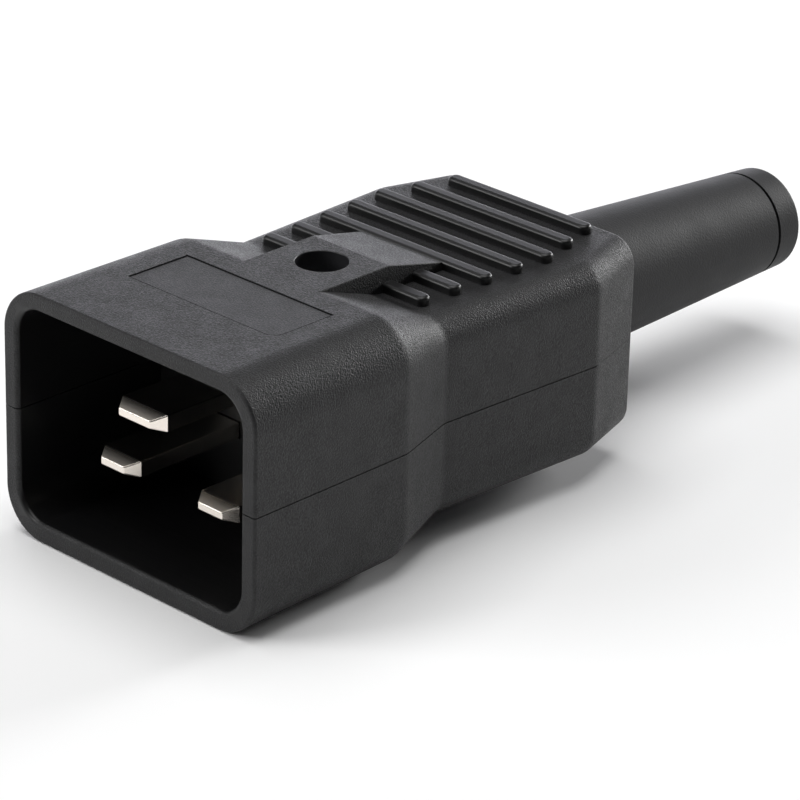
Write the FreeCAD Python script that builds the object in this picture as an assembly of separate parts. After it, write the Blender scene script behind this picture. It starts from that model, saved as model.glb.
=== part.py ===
import FreeCAD, Part
import math
import os

from FreeCAD import Vector

# Rewireable plug with three flat pins in a shroud, a two-half casing and a bend sleeve.
# Millimetres. Origin at the centre of the front opening, on the rim plane.
# X runs across the plug, Y from the rim to the sleeve, Z up.

# Shroud and front opening
opening_width = 29.5
opening_height = 21.3
opening_corner = 3.0
opening_depth = 18.0
shroud_roof_wall = 1.72
shroud_side_wall = 1.87
shroud_floor_wall = 2.05
shroud_side_draft = 0.2
shroud_floor_draft = 0.42
shroud_length = 19.4
rim_outer_rounding = 0.3
rim_inner_rounding = 0.5

# Grip, with the taper in front of it and the narrowing tail behind it
taper_length = 7.15
grip_length = 20.05
tail_length = 7.7
grip_front_width = 28.4
grip_rear_width = 30.4
tail_width = 25.7
grip_height = 20.2
grip_corner = 2.8
bend_reach = 0.4
bend_steps = 6
tail_rounding = 0.6
shell_wall = 1.9
rear_wall = 2.0
seam_above = 0.03
seam_below = 0.07
tail_seam_above = 0.005
tail_seam_below = 0.025
seam_depth = 0.3

# Ribs across the grip, on the upper face
rib_count = 7
rib_lead = 0.65
rib_pitch = 4.0
rib_thickness = 1.5
rib_height = 0.9
rib_end_rounding = 0.7
rib_top_rounding = 0.36
rib_side_margin = 3.6
rib_tail_margin = 4.65
rib_offset = -0.3
rib_root = 0.6

# Ribs and land of the underside, a little stouter than the upper ones
lower_rib_lead = 0.95
lower_rib_pitch = 3.95
lower_rib_thickness = 2.0
lower_rib_end_rounding = 0.8
lower_rib_top_rounding = 0.3
lower_rib_tail_margin = 4.8
lower_island_reach = 8.8
lower_island_edge_rounding = 0.3

# Island round the housing screw, and the shallow plate in front of it
island_width = 10.0
island_reach = 8.95
island_toe_height = 0.75
island_toe_rib = 2
island_edge_rounding = 0.12
island_side_spread = 0.5
island_overlap = 2.0
plate_start = 9.05
plate_length = 7.45
plate_width = 19.1
plate_depth = 0.05
plate_groove_width = 0.22
plate_groove_depth = 0.25
plate_corner = 1.3

# Housing screw and nut
screw_setback = 5.15
screw_diameter = 3.0
screw_head_diameter = 4.8
screw_head_height = 1.9
screw_head_depth = 5.9
screw_slot_width = 0.9
screw_slot_depth = 0.9
screw_hole_rounding = 0.1
nut_width = 5.5
nut_height = 2.4
nut_depth = 4.9
nut_thread_spare = 0.4
pillar_diameter = 5.8
pillar_collar_diameter = 7.6

# Pins and their wire terminals
pin_pitch = 13.0
pin_row_gap = 8.0
pin_thickness = 1.7
pin_drop = 0.2
line_pin_width = 5.0
earth_pin_width = 6.0
line_pin_setback = 4.2
earth_pin_setback = 1.0
pin_tip_length = 1.35
pin_tip_side_bevel = 0.95
pin_tip_flat_bevel = 0.48
pin_edge_rounding = 0.15
pin_tip_rounding = 0.12
terminal_width = 7.0
terminal_length = 8.4
terminal_outset = 1.4
terminal_above_pin = 3.1
terminal_below_pin = 3.6
earth_terminal_above_pin = 1.6
earth_terminal_below_pin = 3.8
earth_strap_width = 2.7
earth_strap_spread = 0.4
earth_terminal_gap = 1.6
wire_hole_diameter = 3.2
terminal_screw_diameter = 3.0
terminal_head_diameter = 3.6
terminal_head_height = 1.8
terminal_slot_width = 0.8
terminal_slot_depth = 0.8

# Pin carrier
carrier_thickness = 2.5
carrier_lip = 0.6

# Cord clamp
clamp_setback = 10.8
clamp_width = 5.0
clamp_seat = -1.0
clamp_lug_thickness = 2.6
clamp_arch_thickness = 2.2
clamp_head_gap = 0.2
clamp_post_diameter = 5.2
clamp_lug_end = 2.8
clamp_screw_diameter = 2.9
clamp_head_diameter = 5.0
clamp_head_height = 1.8
clamp_screw_length = 9.0
clamp_slot_width = 0.8
clamp_slot_depth = 0.8
saddle_width = 2.6
saddle_half_span = 5.6
saddle_height = 2.2

# Bend sleeve
cord_hole_diameter = 8.6
sleeve_length = 35.2
sleeve_root_diameter = 14.2
sleeve_end_diameter = 10.65
sleeve_sag = 1.63
sleeve_neck_diameter = 12.2
sleeve_flange_diameter = 16.0
sleeve_flange_thickness = 2.5
sleeve_groove_from_end = 3.4
sleeve_groove_width = 0.4
sleeve_groove_depth = 0.3
sleeve_end_rounding = 0.5
sleeve_mouth_chamfer = 0.4

# Fits
fit_clearance = 0.1
thread_clearance = 0.05
screw_hole_clearance = 0.15
support_thickness = 1.2

# Stations along the plug
taper_end = shroud_length + taper_length
grip_end = taper_end + grip_length
tail_end = grip_end + tail_length
tail_inside = tail_end - rear_wall
carrier_front = opening_depth
carrier_rear = carrier_front + carrier_thickness
screw_y = shroud_length + screw_setback
clamp_y = tail_end - clamp_setback
clamp_screw_x = cord_hole_diameter / 2 + clamp_arch_thickness + clamp_head_gap + clamp_head_diameter / 2

# Half sizes and heights
opening_half_width = opening_width / 2
opening_half_height = opening_height / 2
shroud_half_width = opening_half_width + shroud_side_wall
shroud_top = opening_half_height + shroud_roof_wall
shroud_floor = opening_half_height + shroud_floor_wall
shroud_rear_floor = shroud_floor - shroud_floor_draft
shroud_corner = opening_corner + shroud_roof_wall
grip_top = grip_height / 2
inner_top = grip_top - shell_wall
pin_low_z = -pin_row_gap / 2 - pin_drop
pin_high_z = pin_row_gap / 2 - pin_drop
head_seat_z = shroud_top - screw_head_depth
nut_seat_z = nut_depth - shroud_rear_floor
pillar_radius = pillar_diameter / 2
screw_hole_radius = screw_diameter / 2 + screw_hole_clearance
head_hole_radius = screw_head_diameter / 2 + screw_hole_clearance

FAR = 4 * tail_end


def eased(corners):
    """Outline stations with every bend along the plug eased by a short curve."""
    stations = [corners[0]]
    for before, corner, after in zip(corners, corners[1:], corners[2:]):
        back = bend_reach / (corner[0] - before[0])
        ahead = bend_reach / (after[0] - corner[0])
        start = [c + back * (b - c) for b, c in zip(before, corner)]
        end = [c + ahead * (a - c) for c, a in zip(corner, after)]
        for step in range(bend_steps + 1):
            u = step / bend_steps
            weights = ((1 - u) ** 2, 2 * u * (1 - u), u ** 2)
            values = zip(start, corner, end)
            stations.append(tuple(sum(w * v for w, v in zip(weights, trio)) for trio in values))
    stations.append(corners[-1])
    return stations


# Outline stations: place along Y, half width, height above and below the middle, corner radius
OUTLINE = eased((
    (0.0, shroud_half_width, shroud_top, shroud_floor, shroud_corner),
    (shroud_length, shroud_half_width - shroud_side_draft, shroud_top, shroud_rear_floor, shroud_corner),
    (taper_end, grip_front_width / 2, grip_top, grip_top, grip_corner),
    (grip_end, grip_rear_width / 2, grip_top, grip_top, grip_corner),
    (tail_end, tail_width / 2, grip_top, grip_top, grip_corner),
))


def section(y, half_width, above, below, radius):
    """Rounded rectangle across the plug at one place along Y."""
    diagonal = radius * math.sqrt(0.5)
    arcs = []
    for number, (side, level) in enumerate(((1, 1), (-1, 1), (-1, -1), (1, -1))):
        height = above if level > 0 else below
        centre_x = side * (half_width - radius)
        centre_z = level * (height - radius)
        on_side = Vector(side * half_width, y, centre_z)
        on_corner = Vector(centre_x + side * diagonal, y, centre_z + level * diagonal)
        on_face = Vector(centre_x, y, level * height)
        points = (on_side, on_corner, on_face) if number % 2 == 0 else (on_face, on_corner, on_side)
        arcs.append(points)
    edges = []
    for number, points in enumerate(arcs):
        edges.append(Part.Arc(*points).toShape())
        edges.append(Part.LineSegment(points[2], arcs[(number + 1) % 4][0]).toShape())
    return Part.Wire(edges)


def outline_at(y, inset):
    """Outline of the casing at y, taken in by a wall thickness."""
    for before, after in zip(OUTLINE, OUTLINE[1:]):
        if y <= after[0]:
            break
    share = (y - before[0]) / (after[0] - before[0])
    half_width, above, below, radius = (a + share * (b - a) for a, b in zip(before[1:], after[1:]))
    return (y, half_width - inset, above - inset, below - inset, max(radius - inset, radius / 3))


def loft(stations):
    """Solid with straight sides through several sections."""
    return Part.makeLoft([section(*station) for station in stations], True, True)


def prism(start, end, half_width, half_height, radius):
    """Straight rounded box along the plug."""
    shape = (half_width, half_height, half_height, radius)
    return loft(((start,) + shape, (end,) + shape))


def box(x_range, y_range, z_range):
    """Box between two corners."""
    size = [limits[1] - limits[0] for limits in (x_range, y_range, z_range)]
    return Part.makeBox(*size, Vector(x_range[0], y_range[0], z_range[0]))


def post(x, y, z_range, radius):
    """Upright cylinder."""
    return Part.makeCylinder(radius, z_range[1] - z_range[0], Vector(x, y, z_range[0]))


def rod(x, z, y_range, radius):
    """Cylinder along the plug."""
    return Part.makeCylinder(radius, y_range[1] - y_range[0], Vector(x, y_range[0], z), Vector(0, 1, 0))


def ring_edges(shape, y, half_width, half_height):
    """Edges that lie across the plug at y, within the given half sizes."""
    chosen = []
    for edge in shape.Edges:
        bounds = edge.BoundBox
        level = abs(bounds.YMin - y) < 0.001 and abs(bounds.YMax - y) < 0.001
        inside = max(-bounds.XMin, bounds.XMax) < half_width + 0.001
        inside = inside and max(-bounds.ZMin, bounds.ZMax) < half_height + 0.001
        if level and inside:
            chosen.append(edge)
    return chosen


def upper_edges(shape, z):
    """Edges that lie wholly above a height."""
    return [edge for edge in shape.Edges if edge.BoundBox.ZMin > z]


def upside_down(shape):
    """Copy of a shape mirrored to the underside."""
    return shape.mirror(Vector(0, 0, 0), Vector(0, 0, 1))


def trimmed_to_casing(shape):
    """Keeps only what lies inside the casing's wall."""
    return shape.common(loft([outline_at(station[0], shell_wall / 2) for station in OUTLINE]))


def rib_front(number):
    """Place along Y of the front face of an upper rib."""
    return taper_end + rib_lead + number * rib_pitch


def lower_rib_front(number):
    """Place along Y of the front face of a rib of the underside."""
    return taper_end + lower_rib_lead + number * lower_rib_pitch


def rib(front, thickness, end_rounding, top_rounding, tail_margin, offset):
    """One grip rib as it lies on the upper face, with rounded ends and edges."""
    margin = rib_side_margin if front + thickness < grip_end else tail_margin
    half_length = outline_at(front, margin)[1]
    top = grip_top + rib_height
    bar = box((offset - half_length, offset + half_length), (front, front + thickness),
              (grip_top - rib_root, top))
    uprights = [edge for edge in bar.Edges if edge.BoundBox.ZLength > rib_height]
    bar = bar.makeFillet(end_rounding, uprights)
    return bar.makeFillet(top_rounding, upper_edges(bar, top - top_rounding))


def upper_ribs():
    """Ribs of the upper face."""
    return [rib(rib_front(number), rib_thickness, rib_end_rounding, rib_top_rounding, rib_tail_margin,
                rib_offset) for number in range(rib_count)]


def lower_ribs():
    """Ribs of the underside."""
    bars = [rib(lower_rib_front(number), lower_rib_thickness, lower_rib_end_rounding,
                lower_rib_top_rounding, lower_rib_tail_margin, 0) for number in range(rib_count)]
    return [upside_down(bar) for bar in bars]


def screw_island(level, reach, toe, side_spread, edge_rounding):
    """Raised land round the housing screw at a given level, with leaning sides, sloping down to a rib."""
    start = shroud_length - island_overlap
    flat_end = shroud_length + reach
    low = grip_top - rib_root
    half_top = island_width / 2
    half_foot = half_top + side_spread
    profile = (
        Vector(-half_foot, start, low),
        Vector(-half_foot, start, level),
        Vector(-half_foot, flat_end, level),
        Vector(-half_foot, toe, grip_top + island_toe_height),
        Vector(-half_foot, toe, low),
    )
    side_view = Part.Face(Part.makePolygon(list(profile) + [profile[0]]))
    land = side_view.extrude(Vector(2 * half_foot, 0, 0))
    if side_spread > 0:
        across = (
            Vector(-half_foot, start, low),
            Vector(half_foot, start, low),
            Vector(half_top, start, level),
            Vector(-half_top, start, level),
        )
        front_view = Part.Face(Part.makePolygon(list(across) + [across[0]]))
        land = land.common(front_view.extrude(Vector(0, toe - start, 0)))
    edges = [edge for edge in upper_edges(land, low) if edge.BoundBox.XLength < island_width / 2]
    edges = [edge for edge in edges if edge.BoundBox.YLength > edge.BoundBox.ZLength]
    return land.makeFillet(edge_rounding, edges)


def screw_lands():
    """Land round the housing screw on the upper face, and the straight-sided one on the underside."""
    upper = screw_island(shroud_top, island_reach, rib_front(island_toe_rib), island_side_spread,
                         island_edge_rounding)
    lower = screw_island(shroud_rear_floor, lower_island_reach, lower_rib_front(island_toe_rib), 0,
                         lower_island_edge_rounding)
    return [upper, upside_down(lower)]


def plate_recess():
    """Shallow place for a plate on the shroud, rounded at one front corner, grooved along its rear and left."""
    left = -plate_width / 2
    right = plate_width / 2
    rear = plate_start + plate_length
    above = shroud_top + shroud_roof_wall
    groove = (shroud_top - plate_groove_depth, above)
    pocket = box((left, right), (plate_start, rear), (shroud_top - plate_depth, above))
    front = [edge for edge in pocket.Edges if edge.BoundBox.YMax < plate_start + plate_length / 2]
    corner = [edge for edge in front if edge.BoundBox.ZLength > plate_depth and edge.BoundBox.XMin > 0]
    pocket = pocket.makeFillet(plate_corner, corner)
    rear_groove = box((left, right), (rear - plate_groove_width, rear), groove)
    left_groove = box((left, left + plate_groove_width), (plate_start, rear), groove)
    return pocket.fuse([rear_groove, left_groove])


def outer_body():
    """Whole casing as one solid lump, before it is hollowed and split."""
    body = loft(OUTLINE)
    body = body.makeFillet(tail_rounding, ring_edges(body, tail_end, FAR, FAR))
    body = body.makeFillet(rim_outer_rounding, ring_edges(body, 0.0, FAR, FAR))
    body = body.fuse(upper_ribs() + screw_lands() + lower_ribs())
    return body.removeSplitter().cut(plate_recess())


def opening(growth):
    """Space of the front opening, grown on every side."""
    return prism(-FAR, opening_depth, opening_half_width + growth, opening_half_height + growth,
                 opening_corner + growth)


def inner_space():
    """All that is empty inside the casing: opening, carrier groove, wiring room and sleeve hole."""
    groove_start = carrier_front - fit_clearance
    groove_end = carrier_rear + fit_clearance
    groove = prism(groove_start, groove_end, opening_half_width + carrier_lip,
                   opening_half_height + carrier_lip, opening_corner)
    room = loft([outline_at(y, shell_wall) for y in (groove_end, taper_end, grip_end, tail_inside)])
    neck = rod(0, 0, (grip_end, FAR), sleeve_neck_diameter / 2 + fit_clearance)
    return opening(0).fuse([groove, room, neck])


def seam():
    """Fine line where the two halves meet, outside and in the front opening, finer still round the tail."""
    slab = box((-FAR, FAR), (-FAR, grip_end), (-seam_below, seam_above))
    slab = slab.fuse(box((-FAR, FAR), (grip_end, FAR), (-tail_seam_below, tail_seam_above)))
    core_stations = [outline_at(station[0], seam_depth) for station in OUTLINE]
    core_stations[0] = (seam_depth,) + core_stations[0][1:]
    core_stations[-1] = (tail_end - seam_depth,) + core_stations[-1][1:]
    mouth = opening(seam_depth).common(box((-FAR, FAR), (-FAR, opening_depth - seam_depth), (-FAR, FAR)))
    return slab.cut(loft(core_stations)).fuse(slab.common(mouth))


def hollow_casing():
    """Casing with its inner space cut out and its rim rounded inside."""
    casing = outer_body().cut(inner_space())
    rim = ring_edges(casing, 0.0, opening_half_width, opening_half_height)
    return casing.makeFillet(rim_inner_rounding, rim)


def upper_shell(casing):
    """Upper half, with the pillar round the housing screw and a stop behind the earth terminal."""
    half = casing.common(box((-FAR, FAR), (-FAR, FAR), (0, FAR)))
    collar = post(0, screw_y, (head_seat_z - support_thickness, inner_top + shell_wall / 2),
                  pillar_collar_diameter / 2)
    pillar = post(0, screw_y, (0, inner_top + shell_wall / 2), pillar_radius)
    stop_front = earth_terminal_front() + terminal_length + fit_clearance
    stop = box(earth_terminal_x(), (stop_front, stop_front + support_thickness),
               (pin_high_z + earth_terminal_above_pin / 2, grip_top))
    half = half.fuse(trimmed_to_casing(pillar.fuse([collar, stop])))
    head_hole = post(0, screw_y, (head_seat_z, FAR), head_hole_radius)
    half = half.cut(head_hole.fuse(post(0, screw_y, (-FAR, FAR), screw_hole_radius)))
    mouth = [edge for edge in half.Edges if edge.BoundBox.ZMin > shroud_top - 0.001
             and abs(edge.BoundBox.XLength - 2 * head_hole_radius) < 0.001]
    return half.makeFillet(screw_hole_rounding, mouth).cut(seam()).removeSplitter()


def hexagon(z_range, width):
    """Upright six-sided prism round the screw axis."""
    reach = width / math.sqrt(3)
    angles = [math.radians(60 * number) for number in range(7)]
    points = [Vector(reach * math.cos(a), screw_y + reach * math.sin(a), z_range[0]) for a in angles]
    return Part.Face(Part.makePolygon(points)).extrude(Vector(0, 0, z_range[1] - z_range[0]))


def terminal_x(side):
    """Span across the plug of a line or neutral terminal, on one side."""
    centre = side * (pin_pitch / 2 + terminal_outset)
    return (centre - terminal_width / 2, centre + terminal_width / 2)


def earth_strap_x():
    """Span across the plug of the strap that passes the screw pillar."""
    inner = pillar_radius + earth_strap_spread
    return (inner, inner + earth_strap_width)


def earth_terminal_x():
    """Span across the plug of the earth terminal, centred on its strap."""
    centre = sum(earth_strap_x()) / 2
    return (centre - terminal_width / 2, centre + terminal_width / 2)


def earth_terminal_front():
    """Front face of the earth terminal, behind the screw pillar."""
    return screw_y + pillar_radius + earth_terminal_gap


def terminal_supports():
    """Pads under the terminals and stops behind the line and neutral ones."""
    shapes = []
    rear = carrier_rear + terminal_length
    for side in (-1, 1):
        span = terminal_x(side)
        pad = (carrier_rear + support_thickness, rear - support_thickness)
        shapes.append(box(span, pad, (-FAR, pin_low_z - terminal_below_pin)))
        outer = sorted((side * (max(abs(span[0]), abs(span[1])) - support_thickness), side * FAR))
        stop = (rear + fit_clearance, rear + fit_clearance + support_thickness)
        shapes.append(box(outer, stop, (-FAR, pin_low_z + pin_thickness / 2)))
    start = earth_terminal_front() + terminal_length / 2 - support_thickness
    shapes.append(box(earth_strap_x(), (start, start + 2 * support_thickness),
                      (-FAR, pin_high_z - earth_terminal_below_pin)))
    return shapes


def cord_saddle():
    """Cross wall under the cord, hollowed to the cord's size."""
    span = (clamp_y - saddle_width / 2, clamp_y + saddle_width / 2)
    wall = box((-saddle_half_span, saddle_half_span), span, (-FAR, -saddle_height))
    return wall.cut(rod(0, 0, (0, FAR), cord_hole_diameter / 2))


def lower_shell(casing):
    """Lower half, with the nut pillar, terminal pads, cord saddle and clamp posts."""
    half = casing.common(box((-FAR, FAR), (-FAR, FAR), (-FAR, 0)))
    pillar = post(0, screw_y, (-FAR, 0), pillar_radius)
    collar = post(0, screw_y, (-FAR, nut_seat_z + support_thickness), pillar_collar_diameter / 2)
    posts = [post(side * clamp_screw_x, clamp_y, (-FAR, clamp_seat), clamp_post_diameter / 2)
             for side in (-1, 1)]
    inside = pillar.fuse([collar, cord_saddle()] + posts + terminal_supports())
    half = half.fuse(trimmed_to_casing(inside))
    nut_pocket = hexagon((-FAR, nut_seat_z), nut_width + 2 * fit_clearance)
    tools = [nut_pocket, post(0, screw_y, (-FAR, FAR), screw_hole_radius), seam()]
    for side in (-1, 1):
        depth = clamp_lug_thickness - clamp_screw_length - fit_clearance
        tools.append(post(side * clamp_screw_x, clamp_y, (clamp_seat + depth, FAR),
                          clamp_screw_diameter / 2 + thread_clearance))
    return half.cut(tools).removeSplitter()


def pin_carrier():
    """Insulating plate with three slots, held by its lip in the groove of both halves."""
    lip = carrier_lip - fit_clearance
    plate = prism(carrier_front, carrier_rear, opening_half_width + lip, opening_half_height + lip,
                  opening_corner)
    for x, z, width in ((-pin_pitch / 2, pin_low_z, line_pin_width), (pin_pitch / 2, pin_low_z, line_pin_width),
                        (0, pin_high_z, earth_pin_width)):
        half_width = width / 2 + fit_clearance
        half_height = pin_thickness / 2 + fit_clearance
        slot = box((x - half_width, x + half_width), (0, FAR), (z - half_height, z + half_height))
        plate = plate.cut(slot)
    return plate


def blade(x, z, width, tip, root):
    """Flat pin with rounded edges and a tip bevelled on all four sides."""
    half_width = width / 2
    half_height = pin_thickness / 2
    point = (half_width - pin_tip_side_bevel, half_height - pin_tip_flat_bevel, half_height - pin_tip_flat_bevel)
    flat = (half_width, half_height, half_height)
    shoulder = tip + pin_tip_length
    places = ((tip, point), (shoulder, flat), (root, flat))
    pin = loft([(y,) + sizes + (pin_edge_rounding,) for y, sizes in places])
    pin = pin.makeFillet(pin_tip_rounding, ring_edges(pin, tip, FAR, FAR) + ring_edges(pin, shoulder, FAR, FAR))
    pin.translate(Vector(x, 0, z))
    return pin


def terminal(x_range, front, z_range, hole_z):
    """Wire terminal block with a hole for the wire and a tapped hole above it."""
    rear = front + terminal_length
    centre = sum(x_range) / 2
    block = box(x_range, (front, rear), z_range)
    block = block.cut(rod(centre, hole_z, (front - 1, rear + 1), wire_hole_diameter / 2))
    tapped = post(centre, front + terminal_length / 2, (hole_z, FAR), terminal_screw_diameter / 2 + thread_clearance)
    return block.cut(tapped)


def line_or_neutral_pin(side):
    """Pin on one side of the lower row, in one piece with its terminal behind the carrier."""
    span = terminal_x(side)
    heights = (pin_low_z - terminal_below_pin, pin_low_z + terminal_above_pin)
    flat = blade(side * pin_pitch / 2, pin_low_z, line_pin_width, line_pin_setback, carrier_rear)
    return flat.fuse(terminal(span, carrier_rear, heights, pin_low_z)).removeSplitter()


def earth_pin():
    """Long pin of the upper row, led past the screw pillar to its terminal."""
    strap = earth_strap_x()
    front = earth_terminal_front()
    level = (pin_high_z - pin_thickness / 2, pin_high_z + pin_thickness / 2)
    flat = blade(0, pin_high_z, earth_pin_width, earth_pin_setback, screw_y - pillar_radius)
    lead = box((earth_pin_width / 4, strap[1]), (carrier_rear, front), level)
    clear = post(0, screw_y, (-FAR, FAR), pillar_radius + earth_strap_spread)
    heights = (pin_high_z - earth_terminal_below_pin, pin_high_z + earth_terminal_above_pin)
    hole_z = heights[0] + wire_hole_diameter / 2 + wire_hole_diameter / 5
    block = terminal(earth_terminal_x(), front, heights, hole_z)
    return flat.fuse(lead).cut(clear).fuse(block).removeSplitter()


def slotted_screw(x, y, seat, length, diameter, head_diameter, head_height, slot_width, slot_depth):
    """Screw with a slotted round head, standing upright with its head's underside at the seat."""
    head = post(x, y, (seat, seat + head_height), head_diameter / 2)
    rim = [edge for edge in upper_edges(head, seat + head_height / 2)]
    head = head.makeFillet(head_height / 5, rim)
    slot = box((x - head_diameter, x + head_diameter), (y - slot_width / 2, y + slot_width / 2),
               (seat + head_height - slot_depth, seat + 2 * head_height))
    shank = post(x, y, (seat - length, seat), diameter / 2)
    foot = [edge for edge in shank.Edges if edge.BoundBox.ZMax < seat - length / 2]
    shank = shank.makeChamfer(diameter / 8, foot)
    return head.cut(slot).fuse(shank).removeSplitter()


def terminal_screw(x_range, front, seat, hole_z):
    """Screw of one wire terminal, run down to the middle of the wire hole."""
    return slotted_screw(sum(x_range) / 2, front + terminal_length / 2, seat, seat - hole_z,
                         terminal_screw_diameter, terminal_head_diameter, terminal_head_height,
                         terminal_slot_width, terminal_slot_depth)


def cord_clamp():
    """Saddle bar with a lug on each post and an arch over the cord."""
    span = (clamp_y - clamp_width / 2, clamp_y + clamp_width / 2)
    reach = clamp_screw_x + clamp_lug_end
    bar = box((-reach, reach), span, (clamp_seat, clamp_seat + clamp_lug_thickness))
    inner = cord_hole_diameter / 2
    arch = rod(0, 0, span, inner + clamp_arch_thickness)
    arch = arch.common(box((-FAR, FAR), (0, FAR), (clamp_seat, FAR)))
    bar = bar.fuse(arch).cut(rod(0, 0, (0, FAR), inner))
    for side in (-1, 1):
        hole_radius = clamp_screw_diameter / 2 + screw_hole_clearance
        bar = bar.cut(post(side * clamp_screw_x, clamp_y, (-FAR, FAR), hole_radius))
    return bar.removeSplitter()


def clamp_screw(side):
    """Screw that holds one end of the cord clamp to its post."""
    return slotted_screw(side * clamp_screw_x, clamp_y, clamp_seat + clamp_lug_thickness,
                         clamp_screw_length, clamp_screw_diameter, clamp_head_diameter,
                         clamp_head_height, clamp_slot_width, clamp_slot_depth)


def housing_screw():
    """Long screw that draws the two halves together."""
    length = head_seat_z - (nut_seat_z - nut_height + nut_thread_spare)
    return slotted_screw(0, screw_y, head_seat_z, length, screw_diameter, screw_head_diameter,
                         screw_head_height, screw_slot_width, screw_slot_depth)


def housing_nut():
    """Hexagon nut in its pocket in the underside."""
    nut = hexagon((nut_seat_z - nut_height, nut_seat_z), nut_width)
    return nut.cut(post(0, screw_y, (-FAR, FAR), screw_diameter / 2 + thread_clearance))


def sagged(shape):
    """Turns a sleeve shape downwards about the middle of the sleeve's root."""
    turned = shape.copy()
    turned.rotate(Vector(0, tail_end + fit_clearance, 0), Vector(1, 0, 0), -sleeve_sag)
    return turned


def turned_profile(profile):
    """Solid turned about the plug's length from radius and place pairs."""
    points = [Vector(radius, y, 0) for radius, y in profile]
    face = Part.Face(Part.makePolygon(points + [points[0]]))
    return face.revolve(Vector(0, 0, 0), Vector(0, 1, 0), 360)


def bend_sleeve():
    """Soft tapered sleeve, flanged inside the casing, with a neck in its rear wall and a cutting groove."""
    root = tail_end + fit_clearance
    end = root + sleeve_length
    flange_rear = tail_inside - fit_clearance
    flange_front = flange_rear - sleeve_flange_thickness
    groove_rear = end - sleeve_groove_from_end
    groove_front = groove_rear - sleeve_groove_width
    slope = (sleeve_end_diameter - sleeve_root_diameter) / 2 / sleeve_length

    def radius_at(y):
        return sleeve_root_diameter / 2 + slope * (y - root)

    groove_radius = radius_at(groove_front) - sleeve_groove_depth
    cone = turned_profile((
        (0, flange_rear), (radius_at(flange_rear), flange_rear),
        (radius_at(groove_front), groove_front), (groove_radius, groove_front),
        (groove_radius, groove_rear), (radius_at(groove_rear), groove_rear),
        (radius_at(end), end), (0, end),
    ))
    cone = cone.makeFillet(sleeve_end_rounding, ring_edges(cone, end, FAR, FAR))
    cone = sagged(cone).cut(box((-FAR, FAR), (-FAR, root), (-FAR, FAR)))
    neck = rod(0, 0, (flange_front, root), sleeve_neck_diameter / 2)
    flange = rod(0, 0, (flange_front, flange_rear), sleeve_flange_diameter / 2)
    bore = cord_hole_diameter / 2
    mouth = bore + sleeve_mouth_chamfer
    hole = turned_profile((
        (0, grip_end), (bore, grip_end), (bore, end - sleeve_mouth_chamfer),
        (mouth, end), (mouth, end + sleeve_mouth_chamfer), (0, end + sleeve_mouth_chamfer),
    ))
    return cone.fuse([neck, flange]).removeSplitter().cut(sagged(hole))


def main():
    casing = hollow_casing()
    low_heights = pin_low_z + terminal_above_pin
    earth_low = pin_high_z - earth_terminal_below_pin
    earth_hole_z = earth_low + wire_hole_diameter / 2 + wire_hole_diameter / 5
    pieces = {
        "upper_shell": upper_shell(casing),
        "lower_shell": lower_shell(casing),
        "pin_carrier": pin_carrier(),
        "line_pin": line_or_neutral_pin(-1),
        "neutral_pin": line_or_neutral_pin(1),
        "earth_pin": earth_pin(),
        "line_terminal_screw": terminal_screw(terminal_x(-1), carrier_rear, low_heights, pin_low_z),
        "neutral_terminal_screw": terminal_screw(terminal_x(1), carrier_rear, low_heights, pin_low_z),
        "earth_terminal_screw": terminal_screw(earth_terminal_x(), earth_terminal_front(),
                                               pin_high_z + earth_terminal_above_pin, earth_hole_z),
        "cord_clamp": cord_clamp(),
        "left_clamp_screw": clamp_screw(-1),
        "right_clamp_screw": clamp_screw(1),
        "housing_screw": housing_screw(),
        "housing_nut": housing_nut(),
        "bend_sleeve": bend_sleeve(),
    }
    os.makedirs("parts", exist_ok=True)
    for name, shape in pieces.items():
        solids = shape.Solids
        print(name, "solids", len(solids), "valid", shape.isValid(), "volume", round(shape.Volume, 2))
        shape.exportStep("parts/" + name + ".step")


main()
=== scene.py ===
import math

import bmesh
import bpy
from bpy.props import FloatProperty, FloatVectorProperty, PointerProperty
from mathutils import Matrix, Vector


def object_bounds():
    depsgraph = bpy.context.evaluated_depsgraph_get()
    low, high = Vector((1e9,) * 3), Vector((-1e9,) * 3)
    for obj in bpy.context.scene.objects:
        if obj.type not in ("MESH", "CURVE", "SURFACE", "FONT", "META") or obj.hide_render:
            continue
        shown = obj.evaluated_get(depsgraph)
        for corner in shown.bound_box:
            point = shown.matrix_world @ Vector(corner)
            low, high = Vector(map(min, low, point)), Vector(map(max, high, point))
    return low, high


bl_info = {
    "name": "Rewireable Plug",
    "version": (1, 0, 0),
    "blender": (4, 5, 0),
    "location": "3D View > Sidebar > Plug",
    "description": "Finishes a rewireable plug in moulded plastics and plated metal, on a studio stage",
    "category": "Object",
}

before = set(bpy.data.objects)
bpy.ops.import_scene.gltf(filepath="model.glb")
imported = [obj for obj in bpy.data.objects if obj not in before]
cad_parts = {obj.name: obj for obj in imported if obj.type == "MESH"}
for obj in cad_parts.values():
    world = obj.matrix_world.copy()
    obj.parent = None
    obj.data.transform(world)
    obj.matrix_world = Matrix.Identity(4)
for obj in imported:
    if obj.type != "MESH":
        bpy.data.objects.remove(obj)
cad_box = [list(corner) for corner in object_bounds()]

MM = 0.001

# Ribs and screw island: heights are from the middle of the casing, lengths from its rim
RIB_FOOT = 10.15 * MM
RIB_FULL = 10.35 * MM
RIBS_START = 27.1 * MM
ISLAND_TOE = 35.15 * MM
ISLAND_HALF_WIDTH = 5.4 * MM
SCREW_Y = 24.55 * MM
SCREW_HOLE_RADIUS = 2.6 * MM

# Front opening
OPENING_DEPTH = 18.5 * MM
OPENING_HALF_WIDTH = 14.8 * MM
OPENING_HALF_HEIGHT = 10.7 * MM

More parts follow.
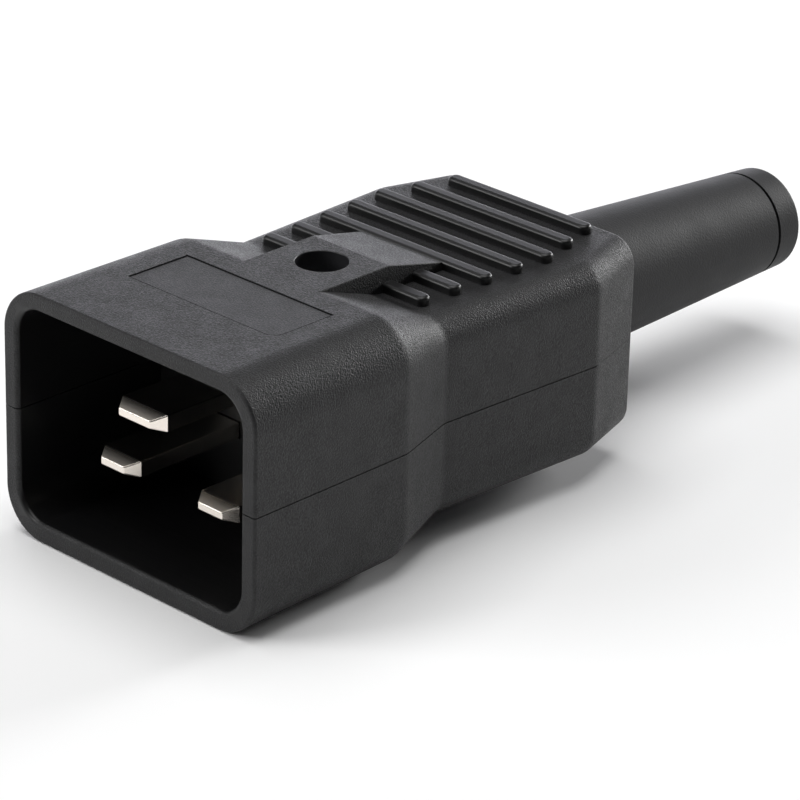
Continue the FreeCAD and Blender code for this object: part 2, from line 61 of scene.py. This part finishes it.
# Place for a plate on top of the shroud, and the painted shade line round its front and right edge
PLATE_TOP = 12.345 * MM
PLATE_BOTTOM = 12.25 * MM
PLATE_FRONT = 9.0 * MM
PLATE_REAR = 16.6 * MM
PLATE_HALF_WIDTH = 9.6 * MM
PLATE_CORNER_X = 8.25 * MM
PLATE_CORNER_Y = 10.35 * MM
PLATE_CORNER_RADIUS = 1.3 * MM
HAIRLINE_HALF_WIDTH = 0.07 * MM
HAIRLINE_BOTTOM = 11.8 * MM
HAIRLINE_LEFT = -9.55 * MM
HAIRLINE_REAR = 16.5 * MM

# Bevelled tips of the pins
LOWER_TIP_END = 5.6 * MM
UPPER_TIP_END = 2.4 * MM
RUBBED_LENGTH = 1.4 * MM
LEAST_UPWARD_FACING = 0.5

# Studio: half the floor's side, the point that the lamps face, the name, place, size, watts and tint
# of each lamp, and the camera's sensor in millimetres
FLOOR_REACH = 3.0
LAMP_TARGET = (0.0, 0.03, 0.0)
NEUTRAL = (1.0, 1.0, 1.0)
COOL = (0.93, 0.93, 1.0)
SOFTBOXES = (
    ("strip_left_low", (-0.8, 0.8, 0.1), (1.6, 0.2), 4.8, COOL),
    ("strip_left_high", (-0.8, 0.8, 0.32), (1.6, 0.24), 1.1, COOL),
    ("softbox_rear", (0.1, 1.28, 0.32), (0.5, 0.24), 10.5, NEUTRAL),
    ("softbox_overhead", (-0.1, 0.0, 1.1), (1.0, 1.0), 10.5, NEUTRAL),
    ("softbox_front", (-0.65, -0.9, 0.55), (0.6, 0.5), 7.2, NEUTRAL),
)
SENSOR_WIDTH = 36.0
NEAREST_SEEN = 0.01


def colour(text):
    """Linear red, green, blue and alpha of an sRGB hex value."""
    values = [int(text[i:i + 2], 16) / 255 for i in (0, 2, 4)]
    linear = [v / 12.92 if v <= 0.04045 else ((v + 0.055) / 1.055) ** 2.4 for v in values]
    return (*linear, 1.0)


class PlugFinish(bpy.types.PropertyGroup):
    """Colours and surface sizes of the plug's materials."""

    casing_low: FloatVectorProperty(
        name="Casing, grain floor", description="Colour of the casing in the pits of its grain",
        subtype="COLOR", size=4, min=0.0, max=1.0, default=colour("0a0a0b"))
    casing_high: FloatVectorProperty(
        name="Casing, grain tops", description="Colour of the casing on the tops of its grain",
        subtype="COLOR", size=4, min=0.0, max=1.0, default=colour("151517"))
    casing_polish: FloatVectorProperty(
        name="Casing, polished",
        description="Colour of the ribs and the opening, which the mould polishes",
        subtype="COLOR", size=4, min=0.0, max=1.0, default=colour("0c0c0d"))
    # Painted light: the plate's place is coloured lighter to stand in for the light that falls on it
    plate_painted_light: FloatVectorProperty(
        name="Casing, plate", description="Colour of the finer grained place for a plate",
        subtype="COLOR", size=4, min=0.0, max=1.0, default=colour("202022"))
    # Painted light: the grey of the screw hole's walls stands in for the light that reaches into the hole
    bore_painted_light: FloatVectorProperty(
        name="Casing, screw hole",
        description="Colour of the walls of the screw hole, greyed by the core pin",
        subtype="COLOR", size=4, min=0.0, max=1.0, default=colour("262628"))
    grain_width: FloatProperty(
        name="Grain width", description="Width of one grain of the spark-eroded casing",
        subtype="DISTANCE", unit="LENGTH", min=0.05 * MM, max=1.0 * MM, default=0.15 * MM, precision=5)
    grain_depth: FloatProperty(
        name="Grain depth", description="Depth of the casing's grain",
        subtype="DISTANCE", unit="LENGTH", min=0.0, max=0.1 * MM, default=0.08 * MM, precision=6)
    carrier: FloatVectorProperty(
        name="Carrier", description="Colour of the insulating plate behind the pins",
        subtype="COLOR", size=4, min=0.0, max=1.0, default=colour("09090a"))
    sleeve_low: FloatVectorProperty(
        name="Sleeve, dull", description="Colour of the soft sleeve where it is dull",
        subtype="COLOR", size=4, min=0.0, max=1.0, default=colour("0d0d0f"))
    sleeve_high: FloatVectorProperty(
        name="Sleeve, bloom", description="Colour of the soft sleeve where its surface blooms",
        subtype="COLOR", size=4, min=0.0, max=1.0, default=colour("141416"))
    nickel: FloatVectorProperty(
        name="Nickel", description="Colour of the plated pins",
        subtype="COLOR", size=4, min=0.0, max=1.0, default=colour("f4ece2"))
    zinc: FloatVectorProperty(
        name="Zinc", description="Colour of the plated screws and the nut",
        subtype="COLOR", size=4, min=0.0, max=1.0, default=colour("b4b7bb"))


class PlugStage(bpy.types.PropertyGroup):
    """Camera and light of the studio stage."""

    azimuth: FloatProperty(
        name="Azimuth", description="Side from which the camera looks, 0 being straight at the front",
        subtype="ANGLE", default=0.758711)
    elevation: FloatProperty(
        name="Elevation", description="Height of the camera above the horizon",
        subtype="ANGLE", default=0.428360)
    roll: FloatProperty(
        name="Roll", description="Turn of the camera about its own axis",
        subtype="ANGLE", default=-0.025453)
    distance: FloatProperty(
        name="Distance", description="Distance from the camera to the point that it looks at",
        subtype="DISTANCE", unit="LENGTH", default=0.361016)
    aim: FloatVectorProperty(
        name="Aim", description="Point that the camera looks at",
        subtype="XYZ", unit="LENGTH", size=3, default=(0.0160247, 0.0186212, 0.0054508))
    lens: FloatProperty(
        name="Lens", description="Focal length in millimetres on a 36 mm wide sensor",
        min=10.0, max=400.0, default=181.01)
    floor: FloatVectorProperty(
        name="Floor", description="Colour of the pale floor",
        subtype="COLOR", size=4, min=0.0, max=1.0, default=colour("fdfdfd"))
    sky: FloatProperty(
        name="Room light", description="Strength of the even light from all round",
        min=0.0, max=5.0, default=0.02)


def add_node(tree, kind, inputs=None, **settings):
    """Adds one node, sets its properties, and sets or links its inputs."""
    node = tree.nodes.new(kind)
    for name, value in settings.items():
        setattr(node, name, value)
    for name, value in (inputs or {}).items():
        socket = node.inputs[name]
        if isinstance(value, bpy.types.NodeSocket):
            tree.links.new(value, socket)
        else:
            socket.default_value = value
    return node


def new_material(name):
    """Empty node material, and its tree to fill."""
    material = bpy.data.materials.new(name)
    material.use_nodes = True
    material.node_tree.nodes.clear()
    return material, material.node_tree


def close_material(tree, shader):
    """Links the shader to the material's output."""
    add_node(tree, "ShaderNodeOutputMaterial", {"Surface": shader.outputs[0]})


def where_all(tree, *tests):
    """Mask that is 1 where each value passes the test against its limit."""
    mask = None
    for value, test, limit in tests:
        passed = add_node(tree, "ShaderNodeMath", {0: value, 1: limit}, operation=test).outputs[0]
        if mask is None:
            mask = passed
        else:
            mask = add_node(tree, "ShaderNodeMath", {0: mask, 1: passed}, operation="MULTIPLY").outputs[0]
    return mask


def rib_mask(tree, y, across, height):
    """The ribs stand above the grip's faces, behind the taper and clear of the screw island."""
    above = add_node(tree, "ShaderNodeMapRange", {
        "Value": height, "From Min": RIB_FOOT, "From Max": RIB_FULL}).outputs[0]
    behind = where_all(tree, (y, "GREATER_THAN", RIBS_START))
    past = where_all(tree, (y, "GREATER_THAN", ISLAND_TOE))
    beside = where_all(tree, (across, "GREATER_THAN", ISLAND_HALF_WIDTH))
    clear = add_node(tree, "ShaderNodeMath", {0: past, 1: beside}, operation="MAXIMUM").outputs[0]
    ribs = add_node(tree, "ShaderNodeMath", {0: above, 1: behind}, operation="MULTIPLY").outputs[0]
    return add_node(tree, "ShaderNodeMath", {0: ribs, 1: clear}, operation="MULTIPLY").outputs[0]


def screw_hole_mask(tree, place):
    """The screw hole is a round place about the upright line of the housing screw."""
    offset = add_node(tree, "ShaderNodeVectorMath", {
        0: place, 1: (0.0, SCREW_Y, 0.0)}, operation="SUBTRACT").outputs[0]
    offset = add_node(tree, "ShaderNodeVectorMath", {
        0: offset, 1: (1.0, 1.0, 0.0)}, operation="MULTIPLY").outputs[0]
    radius = add_node(tree, "ShaderNodeVectorMath", {0: offset}, operation="LENGTH").outputs["Value"]
    return where_all(tree, (radius, "LESS_THAN", SCREW_HOLE_RADIUS))


def painted_shade_line_mask(tree, place, axes):
    """Painted shade line along the front and the right edge of the plate's place, where the edge's small
    step casts shade.
    """
    beyond = add_node(tree, "ShaderNodeVectorMath", {
        0: place, 1: (-1.0, 1.0, 0.0), 2: (PLATE_CORNER_X, -PLATE_CORNER_Y, 0.0)},
        operation="MULTIPLY_ADD").outputs[0]
    beyond = add_node(tree, "ShaderNodeVectorMath", {
        0: beyond, 1: (0.0, 0.0, 0.0)}, operation="MINIMUM").outputs[0]
    radius = add_node(tree, "ShaderNodeVectorMath", {0: beyond}, operation="LENGTH").outputs["Value"]
    line = add_node(tree, "ShaderNodeMath", {
        0: radius, 1: PLATE_CORNER_RADIUS, 2: HAIRLINE_HALF_WIDTH}, operation="COMPARE").outputs[0]
    near = where_all(
        tree, (axes["Z"], "GREATER_THAN", HAIRLINE_BOTTOM), (axes["X"], "GREATER_THAN", HAIRLINE_LEFT),
        (axes["Y"], "LESS_THAN", HAIRLINE_REAR))
    return add_node(tree, "ShaderNodeMath", {0: line, 1: near}, operation="MULTIPLY").outputs[0]


# Glass-filled nylon from a spark-eroded mould: a matt black grain that sparkles on the curves,
# smoother where the mould was polished, on the ribs, in the front opening and in the screw hole
def spark_eroded_nylon(finish):
    """Material of the two casing halves and the cord clamp."""
    material, tree = new_material("nylon_spark_eroded_black")
    place = add_node(tree, "ShaderNodeTexCoord").outputs["Object"]
    axes = add_node(tree, "ShaderNodeSeparateXYZ", {0: place}).outputs
    across = add_node(tree, "ShaderNodeMath", {0: axes["X"]}, operation="ABSOLUTE").outputs[0]
    height = add_node(tree, "ShaderNodeMath", {0: axes["Z"]}, operation="ABSOLUTE").outputs[0]

    # The mould's cores leave the screw hole and the front opening as smooth as the ribs
    smooth = rib_mask(tree, axes["Y"], across, height)
    bore = screw_hole_mask(tree, place)
    mouth = where_all(
        tree, (axes["Y"], "LESS_THAN", OPENING_DEPTH), (across, "LESS_THAN", OPENING_HALF_WIDTH),
        (height, "LESS_THAN", OPENING_HALF_HEIGHT))
    for mask in (bore, mouth):
        smooth = add_node(tree, "ShaderNodeMath", {0: smooth, 1: mask}, operation="MAXIMUM").outputs[0]

    # The plate's place is finer grained than the faces round it, and its colour is painted lighter to stand
    # in for the light that falls on it
    plate = where_all(
        tree, (axes["Z"], "LESS_THAN", PLATE_TOP), (axes["Z"], "GREATER_THAN", PLATE_BOTTOM),
        (axes["Y"], "GREATER_THAN", PLATE_FRONT), (axes["Y"], "LESS_THAN", PLATE_REAR),
        (across, "LESS_THAN", PLATE_HALF_WIDTH))
    edge = painted_shade_line_mask(tree, place, axes)

    # Even mottle as wide as the moulding's flow marks, and grain drawn several pits wide so that it shows
    flow_width = 2.4 * MM
    mottle = add_node(tree, "ShaderNodeTexNoise", {
        "Vector": place, "Scale": 1 / flow_width, "Detail": 2.0, "Roughness": 0.5}).outputs[0]
    grain = add_node(tree, "ShaderNodeTexNoise", {
        "Vector": place, "Scale": 1 / finish.grain_width, "Detail": 1.5, "Roughness": 0.6}).outputs[0]
    tone = add_node(tree, "ShaderNodeMix", {"Factor": 0.2, "A": grain, "B": mottle}).outputs[0]
    tone = add_node(tree, "ShaderNodeMapRange", {
        "Value": tone, "From Min": 0.36, "From Max": 0.64}).outputs[0]
    base = add_node(tree, "ShaderNodeMix", {
        "Factor": tone, "A": finish.casing_low, "B": finish.casing_high},
        data_type="RGBA").outputs["Result"]
    # Painted light: the screw hole's grey tint stands in for light on its walls, and the plate's lighter
    # tint for light on the plate
    for mask, tint in ((plate, finish.plate_painted_light), (smooth, finish.casing_polish),
                       (bore, finish.bore_painted_light)):
        base = add_node(tree, "ShaderNodeMix", {
            "Factor": mask, "A": base, "B": tint}, data_type="RGBA").outputs["Result"]
    matt = add_node(tree, "ShaderNodeMapRange", {
        "Value": tone, "To Min": 0.66, "To Max": 0.4}).outputs[0]

    # Streaks along the ribs, as fine as the marks of the cutter that made their grooves in the mould
    streak_width = 0.2 * MM
    streak = add_node(tree, "ShaderNodeMapping", {"Vector": place, "Scale": (0.02, 1.0, 1.0)}).outputs[0]
    streak = add_node(tree, "ShaderNodeTexNoise", {
        "Vector": streak, "Scale": 1 / streak_width, "Detail": 1.0}).outputs[0]
    polish = add_node(tree, "ShaderNodeMapRange", {
        "Value": streak, "From Min": 0.3, "From Max": 0.7, "To Min": 0.34, "To Max": 0.42}).outputs[0]
    rough = add_node(tree, "ShaderNodeMix", {"Factor": smooth, "A": matt, "B": polish}).outputs[0]
    # Painted shade: the line loses its gloss and its reflection, so that it reads as the shade of the
    # edge's step
    rough = add_node(tree, "ShaderNodeMix", {"Factor": edge, "A": rough, "B": 1.0}).outputs[0]
    specular_dark_at_shade_line = add_node(tree, "ShaderNodeMix", {"Factor": edge, "A": 0.5, "B": 0.0}).outputs[0]
    relief = add_node(tree, "ShaderNodeMix", {"Factor": smooth, "A": 1.0, "B": 0.02}).outputs[0]
    relief = add_node(tree, "ShaderNodeMix", {"Factor": plate, "A": relief, "B": 0.8}).outputs[0]
    bump = add_node(tree, "ShaderNodeBump", {
        "Strength": relief, "Distance": finish.grain_depth, "Height": grain}).outputs[0]
    shader = add_node(tree, "ShaderNodeBsdfPrincipled", {
        "Base Color": base, "Roughness": rough, "IOR": 1.47, "Specular IOR Level": specular_dark_at_shade_line,
        "Normal": bump})
    close_material(tree, shader)
    return material


# Phenolic pressed hot between polished plates: very dark and fairly smooth,
# with a faint cloud in its gloss where the filler lies near the surface
def pressed_phenolic(finish):
    """Material of the plate that carries the pins."""
    material, tree = new_material("phenolic_pressed_black")
    cloud_width = 1.2 * MM
    cloud_depth = 0.01 * MM
    place = add_node(tree, "ShaderNodeTexCoord").outputs["Object"]
    cloud = add_node(tree, "ShaderNodeTexNoise", {
        "Vector": place, "Scale": 1 / cloud_width, "Detail": 3.0}).outputs[0]
    rough = add_node(tree, "ShaderNodeMapRange", {
        "Value": cloud, "To Min": 0.42, "To Max": 0.6}).outputs[0]
    bump = add_node(tree, "ShaderNodeBump", {
        "Strength": 0.2, "Distance": cloud_depth, "Height": cloud}).outputs[0]
    shader = add_node(tree, "ShaderNodeBsdfPrincipled", {
        "Base Color": finish.carrier, "Roughness": rough, "IOR": 1.55, "Normal": bump})
    close_material(tree, shader)
    return material


# Brass drawn, stamped and nickel plated: bright and slightly warm, the drawing left as a faint
# change of gloss along the pin, so that the bevels flash while the flat faces mirror the dark opening
def bright_nickel(finish):
    """Material of the three pins with their terminals."""
    material, tree = new_material("brass_nickel_plated_bright")
    line_width = 0.12 * MM
    bloom_width = 1.5 * MM
    place = add_node(tree, "ShaderNodeTexCoord").outputs["Object"]
    drawn = add_node(tree, "ShaderNodeMapping", {"Vector": place, "Scale": (1.0, 0.06, 1.0)}).outputs[0]
    lines = add_node(tree, "ShaderNodeTexNoise", {
        "Vector": drawn, "Scale": 1 / line_width, "Detail": 3.0}).outputs[0]
    bloom = add_node(tree, "ShaderNodeTexNoise", {
        "Vector": place, "Scale": 1 / bloom_width, "Detail": 2.0}).outputs[0]
    mixed = add_node(tree, "ShaderNodeMix", {"Factor": 0.7, "A": lines, "B": bloom}).outputs[0]
    rough = add_node(tree, "ShaderNodeMapRange", {
        "Value": mixed, "From Min": 0.3, "From Max": 0.7, "To Min": 0.17, "To Max": 0.2}).outputs[0]

    # The coined bevels at the tips, nearer the rim on the upper pin, take the plating duller than the flats
    axes = add_node(tree, "ShaderNodeSeparateXYZ", {0: place}).outputs
    upper = where_all(tree, (axes["Z"], "GREATER_THAN", 0.0))
    reach = add_node(tree, "ShaderNodeMix", {
        "Factor": upper, "A": LOWER_TIP_END, "B": UPPER_TIP_END}).outputs[0]
    tip = where_all(tree, (axes["Y"], "LESS_THAN", reach))
    rough = add_node(tree, "ShaderNodeMix", {"Factor": tip, "A": rough, "B": 0.25}).outputs[0]

    # The upper and lower bevels are dullest at the very tip, where they are rubbed most
    facing = add_node(tree, "ShaderNodeTexCoord").outputs["Normal"]
    facing = add_node(tree, "ShaderNodeSeparateXYZ", {0: facing}).outputs["Z"]
    facing = add_node(tree, "ShaderNodeMath", {0: facing}, operation="ABSOLUTE").outputs[0]
    facing = where_all(tree, (facing, "GREATER_THAN", LEAST_UPWARD_FACING))
    facing = add_node(tree, "ShaderNodeMath", {0: facing, 1: tip}, operation="MULTIPLY").outputs[0]
    rubbed = add_node(tree, "ShaderNodeMath", {0: reach, 1: axes["Y"]}, operation="SUBTRACT").outputs[0]
    rubbed = add_node(tree, "ShaderNodeMapRange", {
        "Value": rubbed, "From Max": RUBBED_LENGTH, "To Min": 0.24, "To Max": 0.5}).outputs[0]
    rough = add_node(tree, "ShaderNodeMix", {"Factor": facing, "A": rough, "B": rubbed}).outputs[0]
    shader = add_node(tree, "ShaderNodeBsdfPrincipled", {
        "Base Color": finish.nickel, "Metallic": 1.0, "Roughness": rough})
    close_material(tree, shader)
    return material


# Steel turned and zinc plated: a cool grey metal, softly mottled by its passivation
def zinc_plate(finish):
    """Material of the screws and the nut."""
    material, tree = new_material("steel_zinc_plated")
    mottle_width = 0.6 * MM
    mottle_depth = 0.01 * MM
    place = add_node(tree, "ShaderNodeTexCoord").outputs["Object"]
    mottle = add_node(tree, "ShaderNodeTexNoise", {
        "Vector": place, "Scale": 1 / mottle_width, "Detail": 3.0}).outputs[0]
    rough = add_node(tree, "ShaderNodeMapRange", {
        "Value": mottle, "To Min": 0.28, "To Max": 0.5}).outputs[0]
    bump = add_node(tree, "ShaderNodeBump", {
        "Strength": 0.15, "Distance": mottle_depth, "Height": mottle}).outputs[0]
    shader = add_node(tree, "ShaderNodeBsdfPrincipled", {
        "Base Color": finish.zinc, "Metallic": 1.0, "Roughness": rough, "Normal": bump})
    close_material(tree, shader)
    return material


# Soft vinyl from a vapour-blasted mould: black with a broad satin bloom and a grain finer than the
# casing's, here drawn a little coarser than the casing's so that it shows
def soft_vinyl(finish):
    """Material of the bend sleeve."""
    material, tree = new_material("soft_vinyl_moulded_black")
    bloom_width = 3.0 * MM
    grain_width = 0.2 * MM
    grain_depth = 0.05 * MM
    place = add_node(tree, "ShaderNodeTexCoord").outputs["Object"]
    bloom = add_node(tree, "ShaderNodeTexNoise", {
        "Vector": place, "Scale": 1 / bloom_width, "Detail": 3.0}).outputs[0]
    grain = add_node(tree, "ShaderNodeTexNoise", {
        "Vector": place, "Scale": 1 / grain_width, "Detail": 1.5}).outputs[0]
    base = add_node(tree, "ShaderNodeMix", {
        "Factor": bloom, "A": finish.sleeve_low, "B": finish.sleeve_high},
        data_type="RGBA").outputs["Result"]
    rough = add_node(tree, "ShaderNodeMapRange", {
        "Value": bloom, "To Min": 0.54, "To Max": 0.66}).outputs[0]
    bump = add_node(tree, "ShaderNodeBump", {
        "Strength": 0.6, "Distance": grain_depth, "Height": grain}).outputs[0]
    shader = add_node(tree, "ShaderNodeBsdfPrincipled", {
        "Base Color": base, "Roughness": rough, "IOR": 1.45, "Normal": bump})
    close_material(tree, shader)
    return material


# Matt paper sweep: nearly white, without a reflection of the plug
def matt_paper(stage):
    """Material of the floor."""
    material, tree = new_material("paper_matt_pale")
    shader = add_node(tree, "ShaderNodeBsdfPrincipled", {
        "Base Color": stage.floor, "Roughness": 0.9, "Specular IOR Level": 0.1})
    close_material(tree, shader)
    return material


def dress(material, *names):
    """Gives a material to CAD nodes in place of their plain one."""
    for name in names:
        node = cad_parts[name]
        for slot in node.material_slots:
            slot.material = material


class PLUG_OT_finish_casing(bpy.types.Operator):
    """Finishes both halves of the casing and the clamp bar in grained nylon"""

    bl_idname = "plug.finish_casing"
    bl_label = "Finish Casing"

    def execute(self, context):
        nylon = spark_eroded_nylon(context.scene.plug_finish)
        dress(nylon, "upper_shell", "lower_shell", "cord_clamp")
        return {"FINISHED"}


class PLUG_OT_finish_carrier(bpy.types.Operator):
    """Finishes the insulating plate behind the pins"""

    bl_idname = "plug.finish_carrier"
    bl_label = "Finish Pin Carrier"

    def execute(self, context):
        dress(pressed_phenolic(context.scene.plug_finish), "pin_carrier")
        return {"FINISHED"}


class PLUG_OT_finish_pins(bpy.types.Operator):
    """Finishes the three pins and their terminals in bright nickel"""

    bl_idname = "plug.finish_pins"
    bl_label = "Finish Pins"

    def execute(self, context):
        dress(bright_nickel(context.scene.plug_finish), "line_pin", "neutral_pin", "earth_pin")
        return {"FINISHED"}


class PLUG_OT_finish_fasteners(bpy.types.Operator):
    """Finishes the screws and the nut in zinc plate"""

    bl_idname = "plug.finish_fasteners"
    bl_label = "Finish Fasteners"

    def execute(self, context):
        zinc = zinc_plate(context.scene.plug_finish)
        dress(zinc, "line_terminal_screw", "neutral_terminal_screw", "earth_terminal_screw")
        dress(zinc, "left_clamp_screw", "right_clamp_screw", "housing_screw", "housing_nut")
        return {"FINISHED"}


class PLUG_OT_finish_sleeve(bpy.types.Operator):
    """Finishes the bend sleeve in soft vinyl"""

    bl_idname = "plug.finish_sleeve"
    bl_label = "Finish Bend Sleeve"

    def execute(self, context):
        dress(soft_vinyl(context.scene.plug_finish), "bend_sleeve")
        return {"FINISHED"}


def lay_floor(scene, stage):
    """Pale floor at the height of the plug's lowest point."""
    mesh = bpy.data.meshes.new("floor")
    shape = bmesh.new()
    bmesh.ops.create_grid(shape, x_segments=1, y_segments=1, size=FLOOR_REACH)
    bmesh.ops.translate(shape, verts=shape.verts, vec=(0.0, 0.0, cad_box[0][2]))
    shape.to_mesh(mesh)
    shape.free()
    floor = bpy.data.objects.new("floor", mesh)
    scene.collection.objects.link(floor)
    mesh.materials.append(matt_paper(stage))


def light_room(scene, stage):
    """Faint even light from all round."""
    world = bpy.data.worlds.new("studio_room")
    world.use_nodes = True
    world.node_tree.nodes.clear()
    room = add_node(world.node_tree, "ShaderNodeBackground", {
        "Color": (1.0, 1.0, 1.0, 1.0), "Strength": stage.sky})
    add_node(world.node_tree, "ShaderNodeOutputWorld", {"Surface": room.outputs[0]})
    scene.world = world


def add_softbox(scene, name, place, size, power, tint):
    """Rectangular studio lamp that faces the plug."""
    lamp = bpy.data.lights.new(name, "AREA")
    lamp.shape = "RECTANGLE"
    lamp.size, lamp.size_y = size
    lamp.energy = power
    lamp.color = tint
    holder = bpy.data.objects.new(name, lamp)
    holder.location = place
    holder.rotation_euler = (Vector(LAMP_TARGET) - Vector(place)).to_track_quat("-Z", "Y").to_euler()
    scene.collection.objects.link(holder)


def set_camera(scene, stage):
    """Camera at the stage's angles, turned by its roll and drawn back from its aim."""
    back = Vector((math.sin(stage.azimuth) * math.cos(stage.elevation),
                   -math.cos(stage.azimuth) * math.cos(stage.elevation), math.sin(stage.elevation)))
    right = (-back).cross(Vector((0.0, 0.0, 1.0))).normalized()
    right = Matrix.Rotation(stage.roll, 3, -back) @ right
    up = back.cross(right)
    lens = bpy.data.cameras.new("camera")
    lens.lens = stage.lens
    lens.sensor_width = SENSOR_WIDTH
    lens.clip_start = NEAREST_SEEN
    camera = bpy.data.objects.new("camera", lens)
    turned = Matrix((right, up, back)).transposed().to_4x4()
    camera.matrix_world = Matrix.Translation(Vector(stage.aim) + back * stage.distance) @ turned
    scene.collection.objects.link(camera)
    scene.camera = camera


class PLUG_OT_set_stage(bpy.types.Operator):
    """Lays the pale floor and sets the lamps, the room light and the camera"""

    bl_idname = "plug.set_stage"
    bl_label = "Set Stage"

    def execute(self, context):
        scene = context.scene
        stage = scene.plug_stage
        lay_floor(scene, stage)
        light_room(scene, stage)
        for softbox in SOFTBOXES:
            add_softbox(scene, *softbox)
        set_camera(scene, stage)
        scene.view_settings.view_transform = "Standard"
        return {"FINISHED"}


class PLUG_PT_panel(bpy.types.Panel):
    """Sidebar panel with the plug's steps and settings"""

    bl_idname = "PLUG_PT_panel"
    bl_label = "Rewireable Plug"
    bl_space_type = "VIEW_3D"
    bl_region_type = "UI"
    bl_category = "Plug"

    def draw(self, context):
        layout = self.layout
        for operator in OPERATORS:
            layout.operator(operator.bl_idname)
        for group in (context.scene.plug_finish, context.scene.plug_stage):
            for name in group.__annotations__:
                layout.prop(group, name)


OPERATORS = (
    PLUG_OT_finish_casing,
    PLUG_OT_finish_carrier,
    PLUG_OT_finish_pins,
    PLUG_OT_finish_fasteners,
    PLUG_OT_finish_sleeve,
    PLUG_OT_set_stage,
)
CLASSES = (PlugFinish, PlugStage, *OPERATORS, PLUG_PT_panel)


def register():
    for item in CLASSES:
        bpy.utils.register_class(item)
    bpy.types.Scene.plug_finish = PointerProperty(type=PlugFinish)
    bpy.types.Scene.plug_stage = PointerProperty(type=PlugStage)


def unregister():
    del bpy.types.Scene.plug_stage
    del bpy.types.Scene.plug_finish
    for item in reversed(CLASSES):
        bpy.utils.unregister_class(item)


def main():
    register()
    bpy.ops.plug.finish_casing()
    bpy.ops.plug.finish_carrier()
    bpy.ops.plug.finish_pins()
    bpy.ops.plug.finish_fasteners()
    bpy.ops.plug.finish_sleeve()
    bpy.ops.plug.set_stage()


if __name__ == "__main__":
    main()
